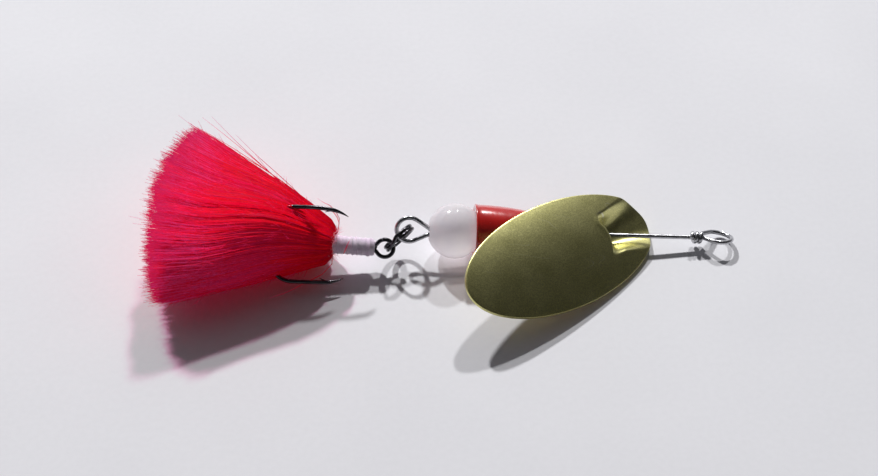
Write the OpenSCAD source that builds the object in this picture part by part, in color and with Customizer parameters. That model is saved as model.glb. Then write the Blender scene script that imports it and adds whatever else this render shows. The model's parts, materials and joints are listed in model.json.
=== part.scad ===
// In-line spinner lure with a through-wire blade and a feather-dressed treble hook,
// lying at rest on a flat surface. Millimetres, +Z up, +X the way the line pulls.
// The origin is the centre of the line-tie eye.

/* [Wire form] */
// Diameter of the hard stainless wire
wire_d = 0.6; // [0.5:0.05:0.65]
// Height of the line-tie eye's centre above the surface
eye_height = 1.12; // [1.1:0.01:1.2]
// Rise of the straight wire toward the tail, in degrees
wire_pitch = 4.4; // [4.4:0.1:5]
// Centreline radius of the line-tie eye
eye_r = 1.65; // [1.5:0.05:1.7]
// Roll of the line-tie eye's plane about the wire, in degrees
eye_roll = -65; // [-80:5:-40]
// Distance from the eye's centre to the first closing turn
wrap_start = 2.2; // [2.1:0.1:2.4]
// Centreline radius of the rear loop
loop_r = 1.73; // [1.6:0.01:1.8]
// Distance from the eye's centre to the rear loop's centre
loop_at = 42.2; // [42:0.1:42.4]
// Roll of the rear loop's plane about the wire, in degrees
loop_roll = 25; // [20:1:30]

/* [Blade] */
// Length of the blade
blade_len = 31; // [30:0.2:31.4]
// Width of the blade
blade_w = 15; // [14:0.2:15.4]
// Thickness of the brass sheet
blade_t = 0.5; // [0.4:0.05:0.6]
// Distance from the wire hole to the middle of the blade
hole_offset = 9.1; // [8.6:0.1:9.3]
// Rise of the blade's crown above its rim
dome = 1.1; // [0.8:0.1:1.3]
// Height of the rim's plane above the wire hole
rim_rise = 1.05; // [0.9:0.05:1.2]
// Depth of the pressed pocket at the wire hole
pocket_depth = 2.5; // [2.3:0.1:2.6]
// Half-width of the pocket at the wire hole
pocket_half = 3.3; // [3.1:0.1:3.5]
// Radius of the wire hole
hole_r = 0.8; // [0.7:0.05:0.85]
// Distance from the line-tie eye to the blade's hole
blade_at = 14.75; // [14.5:0.05:15]
// Turn of the blade about the wire at rest, in degrees
blade_spin = -18.2; // [-18.4:0.2:-10]
// Lift of the blade off the wire at rest, in degrees
blade_lift = 16.1; // [16:0.1:18]
// Skew of the blade in its own plane at rest, in degrees
blade_skew = 30.4; // [25:0.2:33]

/* [Beads and body] */
// Radius of the brass bearing bead
bearing_r = 1.2; // [1:0.05:1.25]
// Distance from the line-tie eye to the bearing bead
bearing_at = 17.6; // [17.5:0.1:17.7]
// Largest radius of the bell-shaped body
body_r = 3.65; // [3.5:0.05:3.7]
// Distance from the line-tie eye to the body's rear rim
rim_at = 33.4; // [33.3:0.1:33.6]
// Length of the body
body_len = 14; // [13.6:0.1:14]
// Radius of the round bead behind the body
pearl_r = 3.75; // [3.6:0.05:3.8]
// Distance from the line-tie eye to the round bead
pearl_at = 36; // [35.9:0.05:36.1]

/* [Treble hook] */
// Centreline radius of the split ring
ring_r = 2.2; // [2.15:0.05:2.25]
// Wire diameter of the split ring
ring_wire_d = 0.52; // [0.48:0.02:0.54]
// Diameter of the hook wire
hook_d = 0.56; // [0.5:0.02:0.6]
// Centreline radius of the hook's eye
hook_eye_r = 1.2; // [1.15:0.05:1.25]
// Straight length of the hook's shank
shank_len = 12.3; // [12:0.1:12.6]
// Radius of each hook's bend
bend_r = 2.75; // [2.6:0.05:2.8]
// Length of each hook's arm, without its point
arm_len = 4.6; // [4.4:0.1:5]

/* [Dressing] */
// Diameter of the thread wrap at the collar
thread_d = 2.45; // [2.3:0.05:2.6]
// Distance from the hook's eye to the collar
collar_at = 7.3; // [7.2:0.1:7.5]
// Length of the hackle fibres
hackle_len = 24.5; // [22:0.5:26]
// Flare of the hackle from its axis, in degrees
hackle_flare = 27; // [22:0.5:28]

/* [Hidden] */
$fn = 48;
knuckle = 1.03;                  // a joint's ball over its wire
overlap = 0.04;                  // how far the closing turns sink into the wire they grip
neck_at = 1.9;                   // where the eye's two strands meet the straight wire
rear_neck_at = 39.1;             // where the rear loop's two strands meet, inside the round bead
tag_len = 1.6;                   // tucked-in end of the wire
wrap_turns = 2;
wrap_pitch = 0.68;
bore_r = 0.45;                   // bore of the bearing bead and the body
pearl_bore_r = 1.05;             // wide enough for the wire and its tucked-in end
seat_gap = 0.12;                 // between the round bead and the body's hollow rear
nose_r = 1.2;                    // flat front of the body
body_steps = 12;
lip_r = 0.16;                    // rolled lip of the body's rear rim
blade_rows = 60;                 // stations along the blade
blade_cols = 16;                 // stations across the blade
blunt_deg = 3;                   // how much of each end is left square
wall_run = 1.5;                  // length of the pocket's sloping end wall
wall_angle = 31;                 // slope of the hole's axis over the blade's plane
tip_pocket = 1.2;                // depth left at the blade's short tip
tip_half = 4.8;                  // the pocket's half-width there
floor_flat = 1.5;                // 1 for a round pocket, more for a flatter floor
ring_centre = [-43.5, -0.8, 3.6];
ring_lean = 62;                  // the ring's axis, down from straight up
ring_heading = 137;              // and its bearing in plan
hook_eye_at = [-45.45, -1.95, 2.87];
hook_pitch = 5.9;
hook_yaw = 2.8;
hook_roll = 8;                   // turn of the upper hook from straight up
pair_plane = hook_roll + 30;     // the pair's two shanks and its eye lie in this plane
pair_gap = hook_d / 2 + 0.01;    // each of the pair's shanks from the middle
arm_turn = 184;                  // each bend closes slightly past parallel
point_len = 2.3;
tip_d = 0.06;
barb_len = 0.95;
barb_back = 0.1;                 // where the barb is raised, before the point's taper
barb_turn = 150;
thread_from = hook_eye_r + 0.4;
thread_taper = 0.2;
tail_swing = 6.5;
hackle_spread = [0.65, 1.05, 0.85, 0.65, 1.05, 0.85]; // flare of each bundle: wide and low
hackle_gap = 3;                  // degrees between one bundle and the next
hackle_core_r = 1;               // room for the shanks at the collar
hackle_root_r = 1.5;
hackle_back = 0.16;              // keeps the swung skirt off the end of the thread
hackle_swell = 1.1;              // the skirt's soft roll just behind the collar
hackle_curl = 1.4;               // how far the tips bend back in
surface_gap = 0.05;
room = 80;                       // larger than the tail

// Carries a piece from its place above the surface to the row's frame
module above_surface() translate([0, 0, -eye_height]) children();

// Local +Z runs back along the wire, local +X points up and local +Y stays across
module on_wire(distance) {
    above_surface() translate([0, 0, eye_height]) rotate([0, wire_pitch - 90, 0])
        translate([0, 0, distance]) children();
}

// Local +Z runs back along the hook's shank, starting at the centre of its eye
module on_hook(distance) {
    above_surface() translate(hook_eye_at) rotate([0, 0, -hook_yaw]) rotate([0, hook_pitch - 90, 0])
        translate([0, 0, distance]) children();
}

// A straight rod from the origin along +Z, with a barely proud ball at its far end
// that joins it to the next stretch of wire
module rod(d, length) {
    cylinder(d = d, h = length);
    translate([0, 0, length]) sphere(d = knuckle * d);
}

// A drop-shaped loop of wire in the local XZ plane: its round end points to +Z
// and its two straight strands meet at the origin
module drop_loop(d, r, reach) {
    half_angle = asin(r / reach);
    strand = sqrt(reach * reach - r * r);
    sphere(d = knuckle * d);
    for (side = [-1, 1]) rotate([0, side * half_angle, 0]) rod(d, strand);
    translate([0, 0, reach]) rotate([90, 0, 0]) rotate([0, 0, -half_angle])
        rotate_extrude(angle = 180 + 2 * half_angle) translate([r, 0]) circle(d = d);
}

// A round collar of wire about the local Z axis
module ring_of(r, d) rotate_extrude() translate([r, 0]) circle(d = d);

module shaft_wire() {
    color("silver") {
        on_wire(neck_at) rod(wire_d, rear_neck_at - neck_at);
        on_wire(neck_at) rotate([0, 0, eye_roll]) rotate([180, 0, 0]) drop_loop(wire_d, eye_r, neck_at + 0.42);
        for (turn = [0 : wrap_turns - 1]) on_wire(wrap_start + turn * wrap_pitch)
            ring_of(wire_d - overlap, wire_d);
        on_wire(rear_neck_at) rotate([0, 0, loop_roll]) drop_loop(wire_d, loop_r, loop_at - rear_neck_at);
        on_wire(rear_neck_at - tag_len) rotate([0, 0, loop_roll])
            translate([-wire_d - overlap, 0, 0]) cylinder(d = wire_d, h = tag_len + 1);
    }
}

module bearing_bead() {
    color("gold") on_wire(bearing_at) difference() {
        sphere(r = bearing_r);
        cylinder(r = bore_r, h = 4 * bearing_r, center = true);
    }
}

// The blade's own frame: x along the blade from the hole to its long end, z out of its crown
function blade_half_width(u) = blade_w / 2 * sqrt(max(0, 1 - pow((u - hole_offset) * 2 / blade_len, 2)));
function crown(u, v) = rim_rise + dome * (1 - pow((u - hole_offset) * 2 / blade_len, 2) - pow(2 * v / blade_w, 2));
function clamp01(t) = min(1, max(0, t));
function smooth(t) = clamp01(t) * clamp01(t) * (3 - 2 * clamp01(t));
function toward_tip(u) = clamp01(-u / (blade_len / 2 - hole_offset));
function pocket_at(u) = pocket_depth + (tip_pocket - pocket_depth) * toward_tip(u);
function pocket_w(u) = pocket_half + (tip_half - pocket_half) * toward_tip(u);
function wall_at(u) = 1 - smooth((u + 0.45 * wall_run) / wall_run);
function pocket_shape(v, w) = abs(v) >= w ? 0 : (1 + cos(180 * pow(abs(v) / w, floor_flat))) / 2;
function blade_z(u, v) = crown(u, v) - pocket_at(u) * wall_at(u) * pocket_shape(v, pocket_w(u));
function blade_point(i, j, drop) =
    let (a = blunt_deg + (180 - 2 * blunt_deg) * i / blade_rows,
         u = hole_offset - blade_len / 2 * cos(a),
         v = blade_half_width(u) * (2 * j / blade_cols - 1))
    [u, v, blade_z(u, v) - drop];
function at(i, j) = i * (blade_cols + 1) + j;

module blade_sheet() {
    under = (blade_rows + 1) * (blade_cols + 1);
    points = [
        for (drop = [0, blade_t]) for (i = [0 : blade_rows]) for (j = [0 : blade_cols])
            blade_point(i, j, drop)
    ];
    faces = [
        for (i = [0 : blade_rows - 1]) for (j = [0 : blade_cols - 1]) each [
            [at(i, j), at(i, j + 1), at(i + 1, j + 1)],
            [at(i, j), at(i + 1, j + 1), at(i + 1, j)],
            [under + at(i, j), under + at(i + 1, j + 1), under + at(i, j + 1)],
            [under + at(i, j), under + at(i + 1, j), under + at(i + 1, j + 1)]
        ],
        for (i = [0 : blade_rows - 1]) each [
            [at(i, 0), at(i + 1, 0), under + at(i + 1, 0)],
            [at(i, 0), under + at(i + 1, 0), under + at(i, 0)],
            [at(i, blade_cols), under + at(i + 1, blade_cols), at(i + 1, blade_cols)],
            [at(i, blade_cols), under + at(i, blade_cols), under + at(i + 1, blade_cols)]
        ],
        for (j = [0 : blade_cols - 1]) each [
            [at(0, j), under + at(0, j + 1), at(0, j + 1)],
            [at(0, j), under + at(0, j), under + at(0, j + 1)],
            [at(blade_rows, j), at(blade_rows, j + 1), under + at(blade_rows, j + 1)],
            [at(blade_rows, j), under + at(blade_rows, j + 1), under + at(blade_rows, j)]
        ]
    ];
    polyhedron(points, faces, convexity = 4);
}

module blade() {
    color("goldenrod") on_wire(blade_at) rotate([0, 0, blade_spin]) rotate([0, blade_lift, 0])
        rotate([0, -90, 0]) rotate([180, 0, 0]) rotate([0, 0, blade_skew]) difference() {
            blade_sheet();
            rotate([0, wall_angle - 90, 0]) cylinder(r = hole_r, h = 2.6, center = true);
        }
}

module body_weight() {
    reach = body_len / sqrt(1 - nose_r / body_r);
    color("red") on_wire(rim_at) difference() {
        union() {
            rotate_extrude() polygon([
                [0, 0],
                for (i = [0 : body_steps]) let (back = body_len * i / body_steps)
                    [body_r * (1 - pow(back / reach, 2)), -back],
                [0, -body_len]
            ]);
            translate([0, 0, -lip_r]) ring_of(body_r - lip_r / 2, 2 * lip_r);
        }
        translate([0, 0, pearl_at - rim_at]) sphere(r = pearl_r + seat_gap);
        cylinder(r = bore_r, h = 3 * body_len, center = true);
    }
}

module pearl_bead() {
    color("whitesmoke") on_wire(pearl_at) difference() {
        sphere(r = pearl_r);
        cylinder(r = pearl_bore_r, h = 3 * pearl_r, center = true);
    }
}

module split_ring() {
    color("dimgray") above_surface() translate(ring_centre) rotate([0, ring_lean, ring_heading])
        for (side = [-1, 1]) translate([0, 0, side * (ring_wire_d - overlap) / 2])
            ring_of(ring_r, ring_wire_d);
}

// One hook with its shank along +Z from the middle of the eye, its bend swinging out to +X
module one_hook() {
    shank_start = sqrt(hook_eye_r * hook_eye_r - pair_gap * pair_gap);
    translate([0, 0, shank_start]) rod(hook_d, shank_len - shank_start);
    translate([bend_r, 0, shank_len]) {
        rotate([90, 0, 0]) rotate([0, 0, 180 - arm_turn]) rotate_extrude(angle = arm_turn)
            translate([bend_r, 0]) circle(d = hook_d);
        rotate([0, arm_turn - 180, 0]) translate([bend_r, 0, 0]) mirror([0, 0, 1]) {
            sphere(d = knuckle * hook_d);
            rod(hook_d, arm_len);
            translate([0, 0, arm_len]) cylinder(d1 = hook_d, d2 = tip_d, h = point_len);
            translate([-hook_d / 5, 0, arm_len - barb_back]) rotate([0, -barb_turn, 0])
                cylinder(d1 = 0.6 * hook_d, d2 = tip_d, h = barb_len);
        }
    }
}

// The upper and the near hook are one doubled wire, and its loop is the eye
module hook_pair() {
    color("dimgray") on_hook(0) {
        rotate([0, 0, pair_plane]) rotate([90, 0, 0]) ring_of(hook_eye_r, 1.1 * hook_d);
        rotate([0, 0, pair_plane]) translate([pair_gap, 0, 0]) rotate([0, 0, hook_roll - pair_plane]) one_hook();
        rotate([0, 0, pair_plane]) translate([-pair_gap, 0, 0])
            rotate([0, 0, hook_roll - 120 - pair_plane]) one_hook();
    }
}

// The third hook is brazed into the groove between the other two shanks
module hook_single() {
    color("dimgray") on_hook(0) rotate([0, 0, hook_roll + 120])
        translate([sqrt(3) * pair_gap, 0, 0]) one_hook();
}

module thread_wrap() {
    color("white") on_hook(thread_from) difference() {
        cylinder(d1 = thread_d - thread_taper, d2 = thread_d, h = collar_at - thread_from);
        for (x = [-pair_gap, pair_gap]) rotate([0, 0, pair_plane]) translate([x, 0, -1])
            rod(hook_d + 0.01, collar_at);
        rotate([0, 0, hook_roll + 120]) translate([sqrt(3) * pair_gap, 0, -1]) rod(hook_d + 0.01, collar_at);
    }
}

// One bundle of hackle: a sector of the flared skirt, stopped by the surface it lies on
module hackle(index) {
    sector = 60;
    flare = hackle_flare * hackle_spread[index - 1];
    roll_r = hackle_root_r + hackle_swell;
    end_r = roll_r + hackle_len * sin(flare) - hackle_curl;
    end_z = hackle_len * cos(flare);
    core_len = shank_len - collar_at;
    color("crimson") intersection() {
        on_hook(collar_at) rotate([-tail_swing, 0, 0]) translate([0, 0, hackle_back])
            rotate([0, 0, hook_roll + sector * (index - 1) - (sector - hackle_gap) / 2])
                rotate_extrude(angle = sector - hackle_gap) polygon([
                    [hackle_core_r, 0],
                    [hackle_root_r, 0],
                    [roll_r, 0.8],
                    [(roll_r + end_r) / 2 + hackle_curl / 4, end_z / 2],
                    [end_r, end_z],
                    [(end_r + hackle_core_r) / 2, (end_z + hackle_len) / 2],
                    [hackle_core_r, core_len]
                ]);
        above_surface() translate([-1.5 * room, -room / 2, surface_gap]) cube([room, room, room]);
    }
}

shaft_wire();
bearing_bead();
blade();
body_weight();
pearl_bead();
split_ring();
hook_pair();
hook_single();
thread_wrap();
hackle(1);  // hackle_1
hackle(2);  // hackle_2
hackle(3);  // hackle_3
hackle(4);  // hackle_4
hackle(5);  // hackle_5
hackle(6);  // hackle_6
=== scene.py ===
"""An in-line spinner lure lying on a pale surface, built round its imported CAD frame.

Lengths are millimetres in the row frame, until add_mesh() turns them into metres. In the frames of
the wire and the hook, +X points up, +Y lies across and +Z runs back toward the tail.
"""

import json
import math

import bpy
import numpy as np
from mathutils import Matrix, Vector


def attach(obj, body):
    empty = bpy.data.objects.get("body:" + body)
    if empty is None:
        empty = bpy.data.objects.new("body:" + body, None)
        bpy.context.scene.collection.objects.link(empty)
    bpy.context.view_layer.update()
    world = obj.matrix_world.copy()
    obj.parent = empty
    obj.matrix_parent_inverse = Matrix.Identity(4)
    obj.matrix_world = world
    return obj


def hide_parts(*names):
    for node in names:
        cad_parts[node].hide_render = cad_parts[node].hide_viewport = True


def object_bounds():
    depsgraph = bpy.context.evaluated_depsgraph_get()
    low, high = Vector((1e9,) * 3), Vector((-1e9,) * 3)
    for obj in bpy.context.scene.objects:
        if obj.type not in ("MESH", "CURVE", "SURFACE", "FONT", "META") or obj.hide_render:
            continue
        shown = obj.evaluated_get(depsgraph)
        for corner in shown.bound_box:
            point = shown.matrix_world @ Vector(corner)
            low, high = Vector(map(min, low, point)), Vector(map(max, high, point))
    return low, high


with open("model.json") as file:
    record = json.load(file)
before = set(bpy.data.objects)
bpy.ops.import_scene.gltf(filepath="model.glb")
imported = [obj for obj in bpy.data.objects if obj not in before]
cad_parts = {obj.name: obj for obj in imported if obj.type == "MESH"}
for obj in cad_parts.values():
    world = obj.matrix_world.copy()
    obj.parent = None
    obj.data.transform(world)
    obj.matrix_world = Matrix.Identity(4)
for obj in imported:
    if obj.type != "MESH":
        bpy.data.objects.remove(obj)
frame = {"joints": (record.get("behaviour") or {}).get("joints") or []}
cad_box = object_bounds()
rng = np.random.default_rng(11)

MM = 0.001
FLOOR_Z = cad_box[0].z / MM

# The wire form and what slides on it, as the CAD model has them
JOINTS = {joint["name"]: joint for joint in frame["joints"]}
WIRE_PITCH = math.degrees(math.asin(JOINTS["blade_spin"]["axis"][2]))
WIRE_D = 0.6
EYE_R, EYE_AT, EYE_NECK, EYE_ROLL = 1.65, -0.42, 1.9, -65
LOOP_R, LOOP_AT, LOOP_NECK, LOOP_ROLL = 1.73, 42.2, 39.1, 25
TAG_OFFSET, TAG_END = 0.64, 37.5
WRAP_R, WRAP_PITCH, WRAP_TURNS = 0.59, 0.62, 2.2
BEARING_R, BEARING_AT = 1.2, 17.6
BODY_R, BODY_NOSE_R, BODY_LEN, RIM_AT, BORE_R = 3.65, 1.2, 14, 33.4, 0.45
PEARL_R, PEARL_AT, PEARL_BORE_R, SEAT_GAP = 3.75, 36, 1.05, 0.12

# The blade, whose hole is slightly wider than the CAD model's so that its edge clears the wire when
# the blade swings out
BLADE_LEN, BLADE_W, BLADE_T, HOLE_OFFSET = 31, 15, 0.5, 9.1
DOME, RIM_RISE = 1.1, 1.05
POCKET_DEPTH, POCKET_HALF, TIP_POCKET, TIP_HALF, WALL_RUN, FLOOR_FLAT = 2.5, 3.3, 1.2, 4.8, 1.5, 1.5
WALL_AT, WALL_BOW, WALL_POWER = 0.45, 0.45, 1.6
BULGE, BULGE_AT, BULGE_HALF = 0.4, -1.9, 0.9
CREST, CREST_AT, CREST_HALF, CREST_REACH = 0.1, 1.05, 0.4, 2.6
HOLE_R, WALL_ANGLE, BURR = 0.84, 31, 0.06
BLADE_AT, BLADE_SPIN, BLADE_LIFT, BLADE_SKEW = 14.75, -18.2, 16.1, 30.4

# The split ring, the treble and its dressing. The skirt rolls forward at its root, opens into a bell,
# then settles wide and low
RING_CENTRE, RING_LEAN, RING_HEADING = (-43.5, -0.8, 2.48), 62, 137
RING_R, RING_WIRE_D = 2.2, 0.52
HOOK_EYE, HOOK_PITCH, HOOK_YAW, HOOK_ROLL = (-45.45, -1.95, 1.75), 5.9, 2.8, 8
HOOK_D, HOOK_EYE_R, SHANK_LEN, BEND_R, ARM_TURN = 0.56, 1.2, 12.3, 2.75, 184
ARM_LEN, POINT_LEN, BARB_LEN = 4.6, 2.3, 0.95
COLLAR_AT, THREAD_FROM, THREAD_D = 7.3, 1.35, 2.55
TAIL_LEN, TAIL_FLARE, TAIL_SWING = 23.5, 27, 7.8
TAIL_RISE, TAIL_SPREAD, TAIL_TOP, SETTLE_FROM, SETTLE_RUN = 0.62, 1.22, 46, 0.22, 0.6
ROOT_R, ROOT_BELL, BELL_RUN, ROLL_BACK, ROLL_RUN, TIP_CURL = 0.9, 1.6, 0.6, 0.55, 0.5, 1.3
BUNDLES, PARTS, GUIDES, CHILDREN, STATIONS = 6, 3, 26, 28, 11
OUTER_BARBS, BARBULES, BUTTS = 420, 800, 170


# ---------------------------------------------------------------- frames and meshes

def turn(degrees, axis):
    return np.array(Matrix.Rotation(math.radians(degrees), 4, axis))


def shift(x, y, z):
    return np.array(Matrix.Translation((x, y, z)))


def placed(points, matrix):
    return np.asarray(points, float) @ matrix[:3, :3].T + matrix[:3, 3]


def on_wire(distance):
    return turn(WIRE_PITCH - 90, "Y") @ shift(0, 0, distance)


def on_hook(distance):
    lie = turn(-HOOK_YAW, "Z") @ turn(HOOK_PITCH - 90, "Y")
    return shift(*HOOK_EYE) @ lie @ shift(0, 0, distance)


def polar(degrees):
    """Unit vector in the local XY plane."""
    return np.array([math.cos(math.radians(degrees)), math.sin(math.radians(degrees)), 0])


def add_mesh(name, body, points, faces, material, replaced=(), attributes=None):
    """One smooth-shaded piece in the row frame that rides on a body."""
    mesh = bpy.data.meshes.new(name)
    mesh.from_pydata((np.asarray(points) * MM).tolist(), [], faces)
    mesh.validate()
    mesh.shade_smooth()
    for key, values in (attributes or {}).items():
        mesh.attributes.new(key, "FLOAT", "POINT").data.foreach_set("value", values.astype(np.float32))
    mesh.materials.append(material)
    piece = bpy.data.objects.new(name, mesh)
    bpy.context.scene.collection.objects.link(piece)
    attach(piece, body)
    if replaced:
        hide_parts(*replaced)
    return piece


def grid_faces(rows, columns, close_rows=False):
    """Quads over a grid of points whose columns close into a ring."""
    faces = []
    for i in range(rows if close_rows else rows - 1):
        ahead = (i + 1) % rows
        for j in range(columns):
            side = (j + 1) % columns
            faces.append((i * columns + j, i * columns + side, ahead * columns + side, ahead * columns + j))
    return faces


def even_path(points, step, soften=0.0):
    """The path resampled at an even step, with its corners rounded over about soften."""
    points = np.asarray(points, float)
    lengths = np.r_[0, np.cumsum(np.linalg.norm(np.diff(points, axis=0), axis=1))]
    count = max(4, round(lengths[-1] / step))
    even = np.linspace(0, lengths[-1], count + 1)
    path = np.stack([np.interp(even, lengths, points[:, k]) for k in range(3)], 1)
    if soften:
        reach = int(3 * soften / step)
        weights = np.exp(-0.5 * (np.arange(-reach, reach + 1) * step / soften) ** 2)
        weights /= weights.sum()
        ends = 2 * path[0] - path[reach:0:-1], 2 * path[-1] - path[-2:-reach - 2:-1]
        padded = np.concatenate([ends[0], path, ends[1]])
        path = np.stack([np.convolve(padded[:, k], weights, "valid") for k in range(3)], 1)
    return path


def tube(path, radii, sides=16, closed_ends=True):
    """A round wire along a path, with rounded ends. Returns its points and faces."""
    path = np.asarray(path, float)
    radii = np.broadcast_to(np.asarray(radii, float), len(path)).copy()
    if closed_ends:
        first, last = path[0] - path[1], path[-1] - path[-2]
        first, last = first / np.linalg.norm(first), last / np.linalg.norm(last)
        cap = np.radians([80, 60, 35])
        head = [path[0] + first * radii[0] * 0.6 * math.sin(a) for a in cap]
        tail = [path[-1] + last * radii[-1] * 0.6 * math.sin(a) for a in cap[::-1]]
        path = np.concatenate([head, path, tail])
        radii = np.concatenate([radii[0] * np.cos(cap), radii, radii[-1] * np.cos(cap[::-1])])
    tangents = np.gradient(path, axis=0)
    tangents /= np.linalg.norm(tangents, axis=1)[:, None]
    normal = np.cross(tangents[0], [0.3, 0.5, 0.81])
    normals = []
    for tangent in tangents:
        normal = normal - tangent * (normal @ tangent)
        normal = normal / np.linalg.norm(normal)
        normals.append(normal)
    normals = np.array(normals)
    across = np.cross(tangents, normals)
    angles = np.arange(sides) * 2 * math.pi / sides
    rings = (path[:, None] + radii[:, None, None]
             * (normals[:, None] * np.cos(angles)[:, None] + across[:, None] * np.sin(angles)[:, None]))
    faces = grid_faces(len(path), sides)
    last_ring = (len(path) - 1) * sides
    faces.append(tuple(range(sides))[::-1])
    faces.append(tuple(range(last_ring, last_ring + sides)))
    return rings.reshape(-1, 3), faces


def joined(*shapes):
    """Several shapes as one list of points and one of faces."""
    points, faces, start = [], [], 0
    for shape_points, shape_faces in shapes:
        points.append(shape_points)
        faces += [tuple(index + start for index in face) for face in shape_faces]
        start += len(shape_points)
    return np.concatenate(points), faces


def lathe(profile, segments=128, wobble=0.0):
    """A closed profile of (radius, height) turned about +Z, with a slight unevenness in its radius."""
    profile = np.asarray(profile, float)
    angles = np.arange(segments) * 2 * math.pi / segments
    radius = np.broadcast_to(profile[:, :1], (len(profile), segments)).copy()
    height = profile[:, 1:]
    radius += wobble * (np.sin(2 * angles + 0.35 * height) + 0.6 * np.sin(5 * angles - 0.8 * height))
    points = np.stack([radius * np.cos(angles), radius * np.sin(angles), height + 0 * radius], 2)
    return points.reshape(-1, 3), grid_faces(len(profile), segments, close_rows=True)


def arc(centre, radius, start, end, count):
    """Points (radius, height) along an arc of a lathe's profile."""
    angles = np.radians(np.linspace(start, end, count))
    return [(centre[0] + radius * math.cos(a), centre[1] + radius * math.sin(a)) for a in angles]


# ---------------------------------------------------------------- materials

class Nodes:
    """A material's node tree, with a shader whose sockets take numbers, colours or other nodes' outputs."""

    def __init__(self, name):
        self.material = bpy.data.materials.new(name)
        self.material.use_nodes = True
        self.tree = self.material.node_tree
        self.shader = self.tree.nodes["Principled BSDF"]
        self.place = self.add("TexCoord").outputs["Object"]

    def add(self, kind, inputs=None, **settings):
        node = self.tree.nodes.new("ShaderNode" + kind)
        for key, value in settings.items():
            setattr(node, key, value)
        self.fill(node, inputs or {})
        return node

    def fill(self, node, inputs):
        for key, value in inputs.items():
            if isinstance(value, bpy.types.NodeSocket):
                self.tree.links.new(value, node.inputs[key])
            else:
                node.inputs[key].default_value = value

    def look(self, **inputs):
        self.fill(self.shader, {key.replace("_", " "): value for key, value in inputs.items()})

    def noise(self, size, detail=3.0, stretch=(1, 1, 1), turned=(0, 0, 0), rough=0.5):
        """Noise whose features are about size millimetres."""
        mapped = self.add("Mapping", {"Vector": self.place, "Scale": stretch,
                                      "Rotation": [math.radians(a) for a in turned]})
        inputs = {"Vector": mapped.outputs["Vector"], "Scale": 1 / (size * MM), "Detail": detail,
                  "Roughness": rough}
        return self.add("TexNoise", inputs).outputs["Fac"]

    def span(self, value, low, high, from_low=0.0, from_high=1.0):
        inputs = {"Value": value, "From Min": from_low, "From Max": from_high, "To Min": low, "To Max": high}
        return self.add("MapRange", inputs).outputs["Result"]

    def ramp(self, value, *stops):
        """A colour for each value: stops are (position, (red, green, blue))."""
        node = self.add("ValToRGB", {"Fac": value})
        elements = node.color_ramp.elements
        for index, (position, colour) in enumerate(stops):
            element = elements[index] if index < 2 else elements.new(position)
            element.position = position
            element.color = (*colour, 1)
        return node.outputs["Color"]

    def math(self, operation, a, b=0.0, clamp=False):
        node = self.add("Math", operation=operation, use_clamp=clamp)
        self.fill(node, {0: a, 1: b})
        return node.outputs["Value"]

    def tint(self, colour, value):
        """The colour made brighter or darker by a value."""
        return self.add("HueSaturation", {"Color": colour, "Value": value}).outputs["Color"]

    def mixed(self, share, a, b):
        node = self.add("Mix", data_type="RGBA")
        for socket, value in (("Factor", share), ("A", a), ("B", b)):
            kind = "VALUE" if socket == "Factor" else "RGBA"
            found = next(s for s in node.inputs if s.name == socket and s.type == kind)
            if isinstance(value, bpy.types.NodeSocket):
                self.tree.links.new(value, found)
            else:
                found.default_value = value if socket == "Factor" else (*value, 1)
        return next(s for s in node.outputs if s.type == "RGBA")

    def bump(self, height, depth, strength=1.0, under=None):
        """A bump of that depth in millimetres."""
        inputs = {"Height": height, "Distance": depth * MM, "Strength": strength}
        if under is not None:
            inputs["Normal"] = under
        return self.add("Bump", inputs).outputs["Normal"]

    def let_light_through(self, colour, share, clear_share, clear_colour):
        """Mixes in light that shines through from behind, and thins the shadow that the piece casts."""
        glow = self.add("BsdfTranslucent", {"Color": colour})
        both = self.add("MixShader", {0: share, 1: self.shader.outputs["BSDF"], 2: glow.outputs["BSDF"]})
        shadow = self.add("LightPath").outputs["Is Shadow Ray"]
        clear = self.add("BsdfTransparent", {"Color": (*clear_colour, 1)})
        thinned = self.add("MixShader", {0: self.math("MULTIPLY", shadow, clear_share),
                                         1: both.outputs["Shader"], 2: clear.outputs["BSDF"]})
        self.tree.links.new(thinned.outputs["Shader"], self.tree.nodes["Material Output"].inputs["Surface"])

    def scratches(self, size, width, turned, share):
        """Sparse thin marks, 1 on a mark and 0 off it."""
        lines = self.noise(size, 0, stretch=(0.12, 1, 1), turned=turned)
        off_line = self.math("ABSOLUTE", self.math("SUBTRACT", lines, 0.5))
        on_line = self.span(off_line, 1, 0, 0, width)
        where = self.span(self.noise(size * 2.5, 1), 0, 1, 1 - share, 1 - share + 0.05)
        return self.math("MULTIPLY", on_line, where, clamp=True)


def brass_material():
    n = Nodes("blade_brass")
    cloud = n.noise(3.5, 4)
    grain = n.noise(0.17, 2, rough=0.7)
    marks = n.scratches(1.6, 0.006, (0, 0, 35), 0.42)
    colour = n.ramp(cloud, (0.3, (0.59, 0.562, 0.225)), (0.7, (0.655, 0.625, 0.272)))
    colour = n.tint(colour, n.span(grain, 0.90, 1.35, 0.4, 0.72))
    colour = n.mixed(n.math("MULTIPLY", marks, 0.7), colour, (0.95, 0.93, 0.72))
    rough = n.math("ADD", n.span(grain, 0.30, 0.34, 0.3, 0.7), n.span(cloud, -0.012, 0.012, 0.3, 0.7))
    normal = n.bump(n.noise(6, 1), 0.02)
    normal = n.bump(grain, 0.001, 0.6, under=normal)
    normal = n.bump(marks, 0.0015, 0.6, under=normal)
    n.look(Base_Color=colour, Metallic=1.0, Roughness=rough, Normal=normal,
           Coat_Weight=0.15, Coat_Roughness=0.3)
    return n.material


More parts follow.
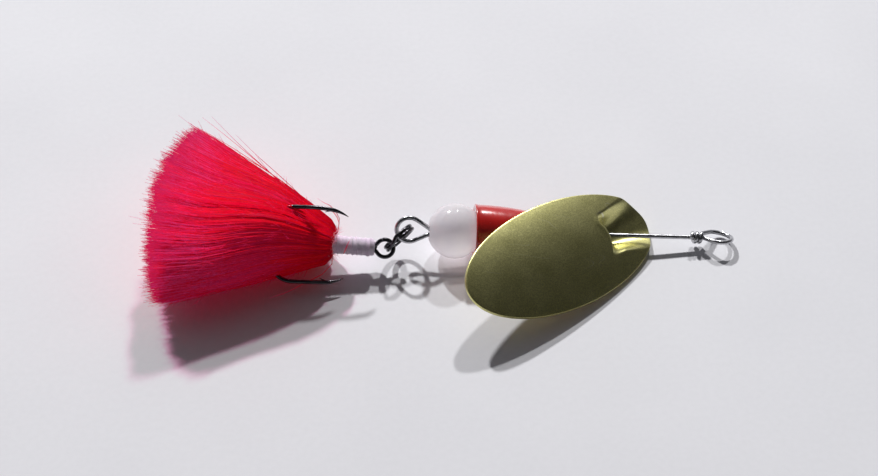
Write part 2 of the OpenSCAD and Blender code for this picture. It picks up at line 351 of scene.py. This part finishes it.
def bearing_material():
    n = Nodes("bearing_brass")
    cloud = n.noise(0.6, 3)
    colour = n.ramp(cloud, (0.3, (0.62, 0.44, 0.15)), (0.7, (0.78, 0.60, 0.25)))
    rough = n.span(n.noise(0.12, 2), 0.12, 0.3, 0.3, 0.7)
    n.look(Base_Color=colour, Metallic=1.0, Roughness=rough, Normal=n.bump(cloud, 0.01, 0.5))
    return n.material


def steel_material():
    n = Nodes("drawn_steel")
    drawn = n.noise(0.07, 2, stretch=(0.03, 1, 1))
    stain = n.noise(1.8, 3)
    colour = n.ramp(stain, (0.3, (0.40, 0.40, 0.42)), (0.7, (0.58, 0.58, 0.60)))
    rough = n.math("ADD", n.span(drawn, 0.16, 0.34, 0.3, 0.7), n.span(stain, -0.03, 0.05, 0.3, 0.7))
    n.look(Base_Color=colour, Metallic=1.0, Roughness=rough, Normal=n.bump(drawn, 0.006, 0.6))
    return n.material


def nickel_material():
    n = Nodes("black_nickel")
    cloud = n.noise(0.9, 3)
    fine = n.noise(0.09, 2)
    marks = n.scratches(0.7, 0.012, (20, 30, 50), 0.45)
    colour = n.ramp(cloud, (0.3, (0.055, 0.052, 0.06)), (0.7, (0.12, 0.115, 0.125)))
    colour = n.mixed(n.math("MULTIPLY", marks, 0.8), colour, (0.45, 0.44, 0.46))
    rough = n.span(fine, 0.14, 0.30, 0.3, 0.7)
    normal = n.bump(marks, 0.006, 0.5, under=n.bump(fine, 0.004, 0.5))
    n.look(Base_Color=colour, Metallic=1.0, Roughness=rough, Normal=normal)
    return n.material


def enamel_material():
    n = Nodes("red_enamel")
    cloud = n.noise(2.4, 4)
    peel = n.noise(0.55, 2)
    speck = n.span(n.noise(0.22, 1), 0, 1, 0.70, 0.74)
    colour = n.ramp(cloud, (0.3, (0.50, 0.010, 0.008)), (0.7, (0.62, 0.016, 0.012)))
    colour = n.mixed(n.math("MULTIPLY", speck, 0.35), colour, (0.16, 0.006, 0.006))
    rough = n.span(peel, 0.18, 0.28, 0.3, 0.7)
    n.look(Base_Color=colour, Roughness=rough, Normal=n.bump(peel, 0.012, 0.7),
           Coat_Weight=1.0, Coat_Roughness=0.05)
    return n.material


def pearl_material():
    n = Nodes("milky_plastic")
    cloud = n.noise(2.2, 4)
    fine = n.noise(0.35, 3)
    colour = n.ramp(cloud, (0.3, (0.86, 0.85, 0.89)), (0.7, (0.93, 0.92, 0.93)))
    rough = n.span(fine, 0.10, 0.20, 0.3, 0.7)
    n.look(Base_Color=colour, Roughness=rough, Normal=n.bump(fine, 0.004, 0.5), Coat_Weight=0.6,
           Coat_Roughness=0.04)
    n.let_light_through(n.tint(colour, 1.04), 0.5, 0.58, (1.0, 0.95, 0.93))
    return n.material


def thread_material():
    n = Nodes("tying_thread")
    fibre = n.noise(0.05, 3, stretch=(1, 0.25, 1))
    soil = n.noise(1.3, 3)
    colour = n.ramp(soil, (0.25, (0.86, 0.66, 0.86)), (0.7, (0.96, 0.84, 0.97)))
    colour = n.tint(colour, n.span(fibre, 0.84, 1.1, 0.3, 0.7))
    rough = n.span(fibre, 0.6, 0.85, 0.3, 0.7)
    n.look(Base_Color=colour, Roughness=rough, Normal=n.bump(fibre, 0.02, 0.8), Sheen_Weight=0.3,
           Subsurface_Weight=0.3, Subsurface_Radius=(1, 0.9, 0.95), Subsurface_Scale=0.4 * MM)
    return n.material


def fibre_material(name, deep, core, outer, tip, light_through):
    """Dyed fibre: its colour runs from root to tip and differs a little from barb to barb. It has a faint
    painted glow: an emission that lifts the shaded lower half of the tail."""
    n = Nodes(name)
    along = n.add("Attribute", attribute_name="along").outputs["Fac"]
    tint = n.add("Attribute", attribute_name="tint").outputs["Fac"]
    band = n.noise(0.5, 2)
    shade = n.math("ADD", along, n.span(band, -0.1, 0.1, 0.3, 0.7))
    # Darker at the root and pinker toward the tip: partly the dye, partly painted backlight for light through
    # the thin tips.
    colour = n.ramp(shade, (0.0, deep), (0.3, core), (0.78, outer), (1.0, tip))
    colour = n.add("HueSaturation", {"Color": colour, "Hue": n.span(tint, 0.488, 0.508),
                                     "Value": n.span(tint, 0.70, 0.91)}).outputs["Color"]
    rough = n.span(band, 0.45, 0.7, 0.3, 0.7)
    # The emission is painted glow: the fibres are no lamp, and it only brightens their shade.
    n.look(Base_Color=colour, Roughness=rough, Specular_IOR_Level=0.2,
           Normal=n.bump(n.noise(0.12, 1), 0.01, 0.4), Emission_Color=colour, Emission_Strength=0.2)
    n.let_light_through(colour, light_through, 0.96, (1.0, 0.85, 0.93))
    return n.material


def floor_material():
    n = Nodes("pale_board")
    fibre = n.noise(0.8, 4)
    cloud = n.noise(25, 2)
    colour = n.ramp(cloud, (0.3, (0.795, 0.795, 0.832)), (0.7, (0.825, 0.825, 0.862)))
    n.look(Base_Color=n.tint(colour, n.span(fibre, 0.985, 1.01, 0.3, 0.7)), Roughness=0.75,
           Normal=n.bump(fibre, 0.01, 0.4), Specular_IOR_Level=0.25)
    return n.material


# ---------------------------------------------------------------- wire form, beads and body

def teardrop(radius, centre, direction, side):
    """A wire loop's round part, from one tangent point to the other. direction is +1 for a loop
    that points back and -1 for one that points to the front."""
    reach = abs(centre - (EYE_NECK if direction < 0 else LOOP_NECK))
    opening = math.degrees(math.asin(radius / reach))
    angles = np.radians(np.arange(-opening, 180.1 + opening, 6))
    return [side * radius * math.cos(a) + np.array([0, 0, centre + direction * radius * math.sin(a)])
            for a in angles]


def shaft_wire(material):
    """One bent wire: closing turns, line-tie eye, shaft, rear loop and tucked-in end."""
    across, out = polar(EYE_ROLL), polar(EYE_ROLL + 90)
    turns = []
    for angle in np.radians(np.arange(0, 360 * WRAP_TURNS, 10)):
        back = EYE_NECK + 0.25 + WRAP_PITCH * angle / (2 * math.pi)
        turns.append(WRAP_R * (math.cos(angle) * out + math.sin(angle) * across) + np.array([0, 0, back]))
    eye = teardrop(EYE_R, EYE_AT, -1, across)
    for index, point in enumerate(eye):
        share = max(0, 1 - index / (0.45 * len(eye)))
        eye[index] = point + WRAP_R * 0.75 * share ** 2 * out
    rear = teardrop(LOOP_R, LOOP_AT, 1, polar(LOOP_ROLL))
    tag = [np.array([0, 0, z]) - TAG_OFFSET * polar(LOOP_ROLL) for z in (LOOP_NECK + 0.5, LOOP_NECK, TAG_END)]
    route = turns[::-1] + mirrored(eye, across)
    route += [np.array([0, 0, EYE_NECK]), np.array([0, 0, LOOP_NECK])] + rear + tag
    path = placed(even_path(route, 0.08, 0.16), on_wire(0))
    points, faces = tube(path, WIRE_D / 2, 18)
    add_mesh("wire_form", "shaft", points, faces, material, ["shaft_wire"])


def mirrored(points, across):
    """The loop run the other way round, so that it leaves the closing turns on their own side."""
    return [point - 2 * (point @ across) * across for point in points]


def bored_ball(radius, bore, edge, ridge=0.0):
    """A ball's profile with a bore whose edges are rounded, and a faint parting line round its middle."""
    half = math.degrees(math.asin((bore + edge) / radius))
    outside = arc((0, 0), radius, 90 - half, half - 90, 72)
    middle = len(outside) // 2
    outside = [(r + ridge * math.exp(-((i - middle) / 1.2) ** 2), z) for i, (r, z) in enumerate(outside)]
    end_z = outside[-1][1]
    low = arc((bore + edge, end_z + edge), edge, -100, -180, 6)
    high = [(r, -z) for r, z in low[::-1]]
    return outside + low + high


def turned_pieces(brass, enamel, milky):
    ball = lathe(bored_ball(BEARING_R, BORE_R, 0.12), 72)
    add_mesh("bearing", "bearing", placed(ball[0], on_wire(BEARING_AT)), ball[1], brass,
             ["bearing_bead"])
    pearl = lathe(bored_ball(PEARL_R, PEARL_BORE_R, 0.25, ridge=0.02), 144)
    add_mesh("round_bead", "bead", placed(pearl[0], on_wire(PEARL_AT)), pearl[1], milky,
             ["pearl_bead"])

    reach = BODY_LEN / math.sqrt(1 - BODY_NOSE_R / BODY_R)
    back = np.linspace(BODY_LEN - 0.15, 0.5, 40)
    bell = [(BODY_R * (1 - (b / reach) ** 2), -b) for b in back]
    lip = arc((BODY_R - 0.08, -0.17), 0.17, -35, 120, 12)
    seat_at, seat_r = PEARL_AT - RIM_AT, PEARL_R + SEAT_GAP
    rim_angle = math.degrees(math.asin(seat_at / seat_r))
    bore_angle = math.degrees(math.acos((BORE_R + 0.1) / seat_r))
    seat = arc((0, seat_at), seat_r, -rim_angle - 2, -bore_angle, 28)
    bore = [(BORE_R, seat[-1][1] - 0.1), (BORE_R, 2 - BODY_LEN), (BORE_R, 0.1 - BODY_LEN)]
    nose = [(BORE_R + 0.1, -BODY_LEN), (BODY_NOSE_R - 0.2, -BODY_LEN), (BODY_NOSE_R, 0.06 - BODY_LEN)]
    body = lathe(bell + lip + seat + bore + nose, 144, wobble=0.012)
    add_mesh("bell_body", "body", placed(body[0], on_wire(RIM_AT)), body[1], enamel,
             ["body_weight"])


# ---------------------------------------------------------------- blade

def smooth(t):
    t = np.clip(t, 0, 1)
    return t * t * (3 - 2 * t)


def blade_height(u, v):
    """The height of the blade's upper face, where u runs from the hole toward the long end and v across.
    The pocket's steep wall follows a bowed course beside the hole, with a rounded crest behind it."""
    crown = RIM_RISE + DOME * (1 - ((u - HOLE_OFFSET) * 2 / BLADE_LEN) ** 2 - (2 * v / BLADE_W) ** 2)
    toward_tip = np.clip(-u / (BLADE_LEN / 2 - HOLE_OFFSET), 0, 1)
    depth = POCKET_DEPTH + (TIP_POCKET - POCKET_DEPTH) * toward_tip
    half = POCKET_HALF + (TIP_HALF - POCKET_HALF) * toward_tip
    course = WALL_AT + WALL_BOW * np.maximum(v, 0) ** 2 / (1 + np.abs(v))
    course = course + BULGE * np.exp(-((v - BULGE_AT) / BULGE_HALF) ** 2)
    wall = 1 - np.clip((u - course + 0.45 * WALL_RUN) / WALL_RUN, 0, 1) ** WALL_POWER
    shape = (1 + np.cos(np.pi * np.clip(np.abs(v) / half, 0, 1) ** FLOOR_FLAT)) / 2
    crest = CREST * np.exp(-((u - course - CREST_AT) / CREST_HALF) ** 2 - (v / CREST_REACH) ** 2)
    return crown - depth * wall * shape + crest


def hole_edge(angles, drop):
    """Where the hole's bore leaves a face of the blade, as (u, v) for each direction round it."""
    axis = np.array([math.sin(math.radians(WALL_ANGLE - 90)), 0, math.cos(math.radians(WALL_ANGLE - 90))])
    near, far = np.full(len(angles), 0.05), np.full(len(angles), 2.6)
    for _ in range(40):
        middle = (near + far) / 2
        u, v = middle * np.cos(angles), middle * np.sin(angles)
        point = np.stack([u, v, blade_height(u, v) - drop], 1)
        inside = np.linalg.norm(point - (point @ axis)[:, None] * axis, axis=1) < HOLE_R
        near, far = np.where(inside, middle, near), np.where(inside, far, middle)
    return np.stack([near * np.cos(angles), near * np.sin(angles)], 1)


def blade(material):
    """The pressed sheet: two faces, a rounded rim and the bore of its hole."""
    columns, rows = 512, 84
    around = np.arange(columns) * 2 * math.pi / columns
    rim = np.stack([HOLE_OFFSET + BLADE_LEN / 2 * np.cos(around), BLADE_W / 2 * np.sin(around)], 1)
    outward = np.stack([np.cos(around) * BLADE_W, np.sin(around) * BLADE_LEN], 1)
    outward /= np.linalg.norm(outward, axis=1)[:, None]
    angles = np.arctan2(rim[:, 1], rim[:, 0])
    share = np.linspace(0, 1, rows) ** 1.25
    bevel = 0.05 + 0.09 * smooth(0.5 + outward @ np.array([0.7, -0.7]))

    def inset_rim(inset):
        """The rim moved inward by one distance, or by one for each column."""
        return rim - np.broadcast_to(inset, columns)[:, None] * outward

    def face(drop, inset):
        """One face of the sheet, from the hole's edge to the rim."""
        start, end = hole_edge(angles, drop), inset_rim(inset)
        spot = start + share[:, None, None] * (end - start)
        return np.dstack([spot, blade_height(spot[..., 0], spot[..., 1]) - drop])

    def rim_row(inset, drop):
        spot = inset_rim(inset)
        return np.column_stack([spot, blade_height(spot[:, 0], spot[:, 1]) - drop])

    top, under = face(0, bevel), face(BLADE_T, BURR)
    edge = [rim_row(bevel * (1 - math.sin(a)), bevel * (1 - math.cos(a)))
            for a in np.radians([22, 45, 68, 90])]
    edge += [rim_row(0, BLADE_T / 2)]
    edge += [rim_row(BURR * (1 - math.cos(a)), BLADE_T - BURR * (1 - math.sin(a)))
             for a in np.radians([0, 30, 60])]
    inner = [under[0] + share_in * (top[0] - under[0]) for share_in in (0.12, 0.5, 0.88)]
    sheet = np.concatenate([top, np.array(edge), under[::-1], np.array(inner)])
    faces = grid_faces(len(sheet), columns, close_rows=True)
    lie = on_wire(BLADE_AT) @ turn(BLADE_SPIN, "Z") @ turn(BLADE_LIFT, "Y")
    lie = lie @ turn(-90, "Y") @ turn(180, "X") @ turn(BLADE_SKEW, "Z")
    add_mesh("pressed_blade", "blade", placed(sheet.reshape(-1, 3), lie), faces, material, ["blade"])


# ---------------------------------------------------------------- split ring and treble

def split_ring(material):
    """Two touching turns of one wire, which steps from the first to the second."""
    offset, step_turn = 0.245, 40
    angles = np.arange(3, 717 - step_turn, 3)
    height = offset * (2 * smooth((angles - (360 - step_turn)) / step_turn) - 1)
    spot = np.radians(angles + 150)
    path = np.stack([RING_R * np.cos(spot), RING_R * np.sin(spot), height], 1)
    lie = shift(*RING_CENTRE) @ turn(RING_HEADING, "Z") @ turn(RING_LEAN, "Y")
    points, faces = tube(placed(even_path(path, 0.09), lie), RING_WIRE_D / 2, 18)
    add_mesh("coiled_ring", "ring", points, faces, material, ["split_ring"])


def hook_route(heading, offset, start, bow=0.06):
    """One hook's wire in the treble's frame, from its shank at start round the bend to the point,
    with the length of wire that the point's taper takes, and its barb."""
    out = polar(heading)
    back = np.array([0, 0, 1.0])
    bend = [BEND_R * (1 - math.cos(a)) * out + (SHANK_LEN + BEND_R * math.sin(a)) * back
            for a in np.radians(np.arange(0, ARM_TURN + 0.1, 4))]
    close = math.radians(ARM_TURN)
    arm = math.sin(close) * out + math.cos(close) * back
    inward = math.cos(close) * out - math.sin(close) * back
    root = bend[-1]
    full = ARM_LEN + POINT_LEN
    reach = [root + arm * d + inward * (0.1 * max(0, d - ARM_LEN) ** 2 - bow * math.sin(math.pi * d / full))
             for d in np.linspace(0.4, full, 16)]
    base = root + arm * (ARM_LEN - 0.1) + inward * (HOOK_D / 5 - bow)
    barb = np.array([base, base + BARB_LEN * (0.5 * inward - 0.866 * arm)])
    route = [start * back] + bend + reach
    return [point + offset for point in route], barb + offset


def point_radii(path, ends):
    """The wire's radius, tapered to a needle at one or both ends."""
    lengths = np.r_[0, np.cumsum(np.linalg.norm(np.diff(path, axis=0), axis=1))]
    radii = np.full(len(path), HOOK_D / 2)
    for distance in [lengths[-1] - lengths] + ([lengths] if ends == 2 else []):
        radii = np.minimum(radii, 0.025 + (HOOK_D / 2 - 0.025) * np.clip(distance / POINT_LEN, 0, 1) ** 0.8)
    return radii


def barb_shape(barb):
    path = even_path(barb, 0.06)
    return tube(placed(path, on_hook(0)), np.linspace(0.3 * HOOK_D, 0.02, len(path)), 12)


def treble(material):
    gap = HOOK_D / 2 + 0.01
    pair_heading = HOOK_ROLL + 30
    along = polar(pair_heading)
    start = math.sqrt(HOOK_EYE_R ** 2 - gap ** 2)
    upper, upper_barb = hook_route(HOOK_ROLL, gap * along, start + 0.3, bow=0.34)
    near, near_barb = hook_route(HOOK_ROLL - 120, -gap * along, start + 0.3)
    opening = math.degrees(math.asin(gap / HOOK_EYE_R))
    eye = [HOOK_EYE_R * (math.sin(a) * along + math.cos(a) * np.array([0, 0, 1]))
           for a in np.radians(np.arange(opening + 8, 352.1 - opening, 6))]
    path = even_path(upper[::-1] + eye + near, 0.1, 0.14)
    wire = tube(placed(path, on_hook(0)), point_radii(path, 2), 16)
    points, faces = joined(wire, barb_shape(upper_barb), barb_shape(near_barb))
    add_mesh("doubled_hook", "hook", points, faces, material, ["hook_pair"])

    route, barb = hook_route(HOOK_ROLL + 120, math.sqrt(3) * gap * polar(HOOK_ROLL + 120), start)
    path = even_path(route, 0.1, 0.14)
    wire = tube(placed(path, on_hook(0)), point_radii(path, 1), 16)
    points, faces = joined(wire, barb_shape(barb))
    add_mesh("third_hook", "hook", points, faces, material, ["hook_single"])


def thread_wrap(material):
    """Close turns of thread over the three shanks, and a few crossing turns on top."""
    thread_r = 0.085
    top = THREAD_D / 2 - thread_r

    def wound(first, last, pitch, extra, sign):
        angles = np.arange(0, abs(last - first) / pitch * 360, 9)
        back = first + sign * pitch * angles / 360
        grow = smooth((back - THREAD_FROM) / 0.9) * 0.22 + smooth((back - 5) / 2) * 0.06
        uneven = 0.035 * np.sin(back * 7.1 + np.radians(angles)) + 0.02 * np.sin(back * 19)
        radius = top - 0.28 + grow + extra + uneven
        spot = np.radians(sign * angles)
        return np.stack([radius * np.cos(spot), radius * np.sin(spot), back], 1)

    base = wound(THREAD_FROM, COLLAR_AT, 0.155, 0, 1)
    crossing = wound(COLLAR_AT - 0.1, THREAD_FROM + 0.3, 0.66, 0.07, -1)
    finish = wound(THREAD_FROM + 0.1, THREAD_FROM + 0.9, 0.17, 0.08, 1)
    shapes = [tube(placed(even_path(path, 0.13, 0.05), on_hook(0)), thread_r, 8)
              for path in (base, crossing, finish)]
    core = lathe([(0.05, THREAD_FROM + 0.1), (top - 0.3, THREAD_FROM + 0.1), (top - 0.1, THREAD_FROM + 1.2),
                  (top - 0.06, COLLAR_AT), (0.05, COLLAR_AT)], 48)
    shapes.append((placed(core[0], on_hook(0)), core[1]))
    points, faces = joined(*shapes)
    add_mesh("wound_thread", "hook", points, faces, material, ["thread_wrap"])


# ---------------------------------------------------------------- hackle

TAIL = on_hook(COLLAR_AT) @ turn(-TAIL_SWING, "X")


def fibres(paths, root_r, tip_r, tints):
    """Three-sided tapered barbs along paths of shape (barbs, stations, 3)."""
    count, stations = paths.shape[:2]
    tangents = np.gradient(paths, axis=1)
    tangents /= np.linalg.norm(tangents, axis=2)[..., None] + 1e-12
    normals = np.cross(tangents, rng.normal(size=(count, 1, 3)))
    normals /= np.linalg.norm(normals, axis=2)[..., None] + 1e-12
    across = np.cross(tangents, normals)
    along = np.linspace(0, 1, stations)
    middle = root_r * (1 + 0.35 * np.sin(math.pi * along))
    width = middle * (1 - along ** 3) + tip_r * along ** 3
    rings = [paths + width[:, None] * (math.cos(a) * normals + math.sin(a) * across)
             for a in np.radians([0, 120, 240])]
    points = np.stack(rings, 2).reshape(-1, 3)
    starts = (np.arange(count) * stations * 3)[:, None, None, None]
    station = (np.arange(stations - 1) * 3)[None, :, None, None]
    side, following = np.arange(3), (np.arange(3) + 1) % 3
    corners = np.stack([side, following, following + 3, side + 3], 1)[None, None]
    quads = (starts + station + corners).reshape(-1, 4)
    first = starts[:, 0, 0, 0]
    roots = np.stack([first + 2, first + 1, first], 1)
    tips = np.stack([first, first + 1, first + 2], 1) + (stations - 1) * 3
    faces = quads.tolist() + roots.tolist() + tips.tolist()
    attributes = {"along": np.tile(np.repeat(along, 3), count), "tint": np.repeat(tints, stations * 3)}
    return points, faces, attributes


def above_floor(points, room=1.3, gap=0.06):
    """Barbs that would sink into the surface lie along it instead."""
    height = points[..., 2] - FLOOR_Z
    low = room * np.exp(np.minimum(height, room) / room - 1)
    lifted = points.copy()
    lifted[..., 2] = FLOOR_Z + gap + np.where(height < room, low, height)
    return lifted


def skirt(heading, depth, length, stations, curl=0.0):
    """Barb paths in the tail's frame. depth is 0 at the tail's axis and 1 at its outside. The outer barbs
    roll forward over the collar and curl back in at their tips, and the skirt spreads wide and low."""
    upward = depth * np.cos(np.radians(heading - TAIL_TOP))
    length = length * (1.03 + 0.055 * np.exp(-((upward - 0.5) / 0.4) ** 2) - 0.04 * np.clip(-upward, 0, 1))
    t = np.r_[0, 0.02, np.linspace(0.045, 1, stations - 2)]
    run = np.outer(length, t)
    flare = np.radians(TAIL_FLARE) * depth[:, None]
    radius = ROOT_R + ROOT_BELL * depth[:, None] * (1 - np.exp(-run / BELL_RUN)) + run * np.sin(flare)
    radius = radius + (np.asarray(curl) - TIP_CURL * depth)[:, None] * t ** 2
    rolled = ROLL_BACK * depth[:, None] * (run / ROLL_RUN) * np.exp(1 - run / ROLL_RUN)
    back = run * np.cos(flare) - rolled
    spot = np.radians(heading)[:, None]
    settle = smooth((t - SETTLE_FROM) / SETTLE_RUN)
    rise, spread = 1 + (TAIL_RISE - 1) * settle, 1 + (TAIL_SPREAD - 1) * settle
    return np.stack([rise * radius * np.cos(spot), spread * radius * np.sin(spot), back], 2)


def clumped(low, high):
    """The barbs between two headings, which gather round guides as wet or combed hackle does."""
    heading = rng.uniform(low, high, GUIDES)
    depth = np.sqrt(rng.uniform(0.06, 1, GUIDES))
    length = TAIL_LEN * (1 + rng.normal(0, 0.014, GUIDES))
    guides = skirt(heading, depth, length, STATIONS, curl=rng.normal(0, 0.3, GUIDES))
    t = np.linspace(0, 1, STATIONS)[None, :, None]
    count = GUIDES * CHILDREN
    spread = rng.normal(0, 0.42, (count, 1, 3)) * (0.18 + t ** 0.7 * (1 - 0.35 * t))
    pace, phase = rng.uniform(2, 9, (count, 1, 1)), rng.uniform(0, 6, (count, 1, 1))
    wander = rng.normal(0, 0.22, (count, 1, 3)) * np.sin(pace * t + phase)
    paths = np.repeat(guides, CHILDREN, axis=0) + spread + wander * t
    cut = rng.uniform(0.955, 1.01, (count, 1, 1))
    start = paths[:, :1]
    paths = start + (paths - start) * cut
    tints = np.repeat(rng.normal(0.5, 0.16, GUIDES), CHILDREN) + rng.normal(0, 0.14, count)
    return paths, np.clip(tints, 0, 1)


def fuzz(low, high):
    """Short fine barbules that stand a little off the outer barbs."""
    host = skirt(rng.uniform(low, high, BARBULES), rng.uniform(0.9, 1.02, BARBULES),
                 TAIL_LEN * rng.uniform(0.9, 1, BARBULES), 30, curl=np.zeros(BARBULES))
    where = (4 + 24 * rng.uniform(0, 1, BARBULES) ** 0.8).astype(int)
    each = np.arange(BARBULES)
    root, ahead = host[each, where], host[each, where + 1]
    heading = ahead - root
    heading /= np.linalg.norm(heading, axis=1)[:, None]
    reach = rng.uniform(0.8, 2.4, (BARBULES, 1, 1))
    t = np.linspace(0, 1, 5)[None, :, None]
    side = rng.normal(0, 0.34, (BARBULES, 1, 3))
    bend = 0.3 * rng.normal(0, 0.5, (BARBULES, 1, 3))
    paths = root[:, None] + reach * t * (heading[:, None] + side) + bend * t ** 2
    return fibres(placed(paths, TAIL), 0.022, 0.01, rng.uniform(0.3, 1, BARBULES))


def hackle(material, rim_material):
    """Six bundles round the collar, each with its inner barbs, its outer barbs and their barbules."""
    def add_barbs(name, node, shape, look):
        points, faces, attributes = shape
        add_mesh(name, "hook", above_floor(points), faces, look, [node], attributes)

    sector = 360 / BUNDLES
    for bundle in range(BUNDLES):
        node = f"hackle_{bundle + 1}"
        low = HOOK_ROLL + sector * (bundle - 0.5)
        for part in range(PARTS):
            paths, tints = clumped(low + sector * part / PARTS - 1.5, low + sector * (part + 1) / PARTS + 1.5)
            shape = fibres(placed(paths, TAIL), 0.05, 0.018, tints)
            add_barbs(f"{node}_barbs_{part + 1}", node, shape, material)
        heading = rng.uniform(low, low + sector, OUTER_BARBS)
        depth = rng.uniform(0.93, 1.03, OUTER_BARBS)
        length = TAIL_LEN * rng.uniform(0.5, 1.0, OUTER_BARBS) ** 0.6
        paths = skirt(heading, depth, length, STATIONS, curl=rng.normal(0.1, 0.35, OUTER_BARBS))
        tints = rng.uniform(0.25, 1, OUTER_BARBS)
        add_barbs(f"{node}_outer", node, fibres(placed(paths, TAIL), 0.042, 0.014, tints), rim_material)
        add_barbs(f"{node}_fuzz", node, fuzz(low, low + sector), rim_material)


def loose_barbs(material, pale):
    """The few barbs that have come away from the skirt, and the fluff of their butts at the collar."""
    stations = 14
    heading = np.array([44, 50, 38, 55, 47, 28, -38, -60, -128, 50, 64])
    depth = np.array([1.02, 1.00, 1.05, 1.00, 0.98, 1.04, 0.35, 0.22, 1.75, 1.9, 1.7])
    length = TAIL_LEN * np.array([0.74, 0.90, 0.62, 0.97, 1.08, 1.0, 1.10, 1.11, 0.42, 0.22, 0.18])
    curl = np.array([4.3, 3.6, 3.4, 2.4, 1.4, 1.9, 0.4, -0.3, 0.5, 0.6, -0.5])
    paths = skirt(heading, depth, length, stations, curl=curl)
    t = np.linspace(0, 1, stations)[None, :, None]
    sway = rng.normal(0, 0.45, (len(heading), 1, 3)) * np.sin(4 * t + rng.uniform(0, 6, (len(heading), 1, 1)))
    wound = np.radians(np.linspace(-95, 5, stations))
    over = THREAD_D / 2 + 0.05
    wound = np.stack([over * np.cos(wound), over * np.sin(wound), -2.5 + 0.5 * wound / wound[0]], 1)[None]
    paths = np.concatenate([paths + sway * t, wound])
    nodes = [f"hackle_{bundle + 1}" for bundle in range(BUNDLES)]
    points, faces, attributes = fibres(placed(paths, TAIL), 0.045, 0.014, rng.uniform(0.4, 1, len(paths)))
    add_mesh("hackle_strays", "hook", above_floor(points), faces, material, nodes, attributes)

    count = BUTTS
    spot = np.radians(rng.uniform(0, 360, count))[:, None]
    reach = rng.uniform(0.8, 2.0, count)[:, None]
    t = np.linspace(0, 1, 7)
    radius = THREAD_D / 2 + reach * (0.15 + t * rng.uniform(0.35, 0.75, (count, 1)))
    back = -0.2 + reach * (0.2 - 0.9 * t * rng.uniform(-0.4, 1, (count, 1)))
    spot = spot + rng.normal(0, 0.25, (count, 1)) * t
    paths = np.stack([radius * np.cos(spot), radius * np.sin(spot), back], 2)
    points, faces, attributes = fibres(placed(paths, TAIL), 0.03, 0.012, rng.uniform(0, 1, count))
    add_mesh("hackle_butts", "hook", above_floor(points), faces, pale, nodes, attributes)


# ---------------------------------------------------------------- stage

AIM = Vector((-38 * MM, 1.36 * MM, 0))
VIEW_AZIMUTH, VIEW_ELEVATION, VIEW_DISTANCE = -2.05, 46.5, 0.27
LENS, SENSOR = 80.8, 36
LAMP_DISTANCE, LAMP_SIZE = 1.6, 0.075
LAMPS = {"key_light": ((-0.27, 0.72, 0.64), 18.7), "fill_light": ((0.16, 0.74, 0.65), 11.6)}
ROOM_BRIGHT_SIDE, ROOM_FADE, ROOM_LIGHT = (-0.42, 0.88, -0.22), (-0.35, 0.75), (0.035, 0.36)


def stage():
    """The pale surface, two small lamps, a room that is bright at the back, and the camera."""
    bpy.ops.mesh.primitive_plane_add(size=6, location=(AIM.x, AIM.y, FLOOR_Z * MM))
    floor = bpy.context.object
    floor.name = "table"
    floor.data.materials.append(floor_material())

    for name, (direction, power) in LAMPS.items():
        lamp = bpy.data.objects.new(name, bpy.data.lights.new(name, "AREA"))
        lamp.data.shape, lamp.data.size, lamp.data.energy = "DISK", LAMP_SIZE, power
        lamp.data.color = (1.0, 0.995, 0.99)
        toward = Vector(direction).normalized()
        lamp.location = AIM + toward * LAMP_DISTANCE
        lamp.rotation_mode = "QUATERNION"
        lamp.rotation_quaternion = toward.to_track_quat("Z", "Y")
        bpy.context.scene.collection.objects.link(lamp)

    world = bpy.data.worlds.new("room")
    world.use_nodes = True
    tree = world.node_tree
    direction = tree.nodes.new("ShaderNodeTexCoord").outputs["Generated"]
    toward_back = tree.nodes.new("ShaderNodeVectorMath")
    toward_back.operation = "DOT_PRODUCT"
    toward_back.inputs[1].default_value = ROOM_BRIGHT_SIDE
    fade = tree.nodes.new("ShaderNodeMapRange")
    fade.interpolation_type = "SMOOTHSTEP"
    fade.inputs["From Min"].default_value, fade.inputs["From Max"].default_value = ROOM_FADE
    fade.inputs["To Min"].default_value, fade.inputs["To Max"].default_value = ROOM_LIGHT
    tree.links.new(direction, toward_back.inputs[0])
    tree.links.new(toward_back.outputs["Value"], fade.inputs["Value"])
    tree.links.new(fade.outputs["Result"], tree.nodes["Background"].inputs["Strength"])
    tree.nodes["Background"].inputs["Color"].default_value = (0.93, 0.93, 1.0, 1)
    bpy.context.scene.world = world
    bpy.context.scene.view_settings.view_transform = "Standard"

    camera = bpy.data.objects.new("camera", bpy.data.cameras.new("camera"))
    a, e = math.radians(VIEW_AZIMUTH), math.radians(VIEW_ELEVATION)
    away = Vector((math.sin(a) * math.cos(e), -math.cos(a) * math.cos(e), math.sin(e)))
    camera.data.lens, camera.data.sensor_width = LENS, SENSOR
    camera.data.clip_start = 0.01
    camera.location = AIM + away * VIEW_DISTANCE
    camera.rotation_mode = "QUATERNION"
    camera.rotation_quaternion = (-away).to_track_quat("-Z", "Y")
    bpy.context.scene.collection.objects.link(camera)
    bpy.context.scene.camera = camera


stage()
shaft_wire(steel_material())
turned_pieces(bearing_material(), enamel_material(), pearl_material())
blade(brass_material())
black_nickel = nickel_material()
split_ring(black_nickel)
treble(black_nickel)
thread_wrap(thread_material())
# The outer barbs' colours are pinker than the inner ones: partly the dye, partly painted backlight at the
# tail's fringe.
outer_fibre = fibre_material("hackle_outer_dye_and_painted_backlight", (0.80, 0.006, 0.05), (0.93, 0.015, 0.10),
                             (0.97, 0.04, 0.24), (0.98, 0.13, 0.48), 0.6)
inner_fibre = fibre_material("dyed_hackle", (0.72, 0.003, 0.02), (0.92, 0.005, 0.03),
                             (0.97, 0.012, 0.08), (0.98, 0.04, 0.24), 0.6)
hackle(inner_fibre, outer_fibre)
loose_barbs(outer_fibre, fibre_material("pale_butts", (0.80, 0.10, 0.16), (0.88, 0.30, 0.36),
                                        (0.92, 0.52, 0.60), (0.94, 0.70, 0.78), 0.5))
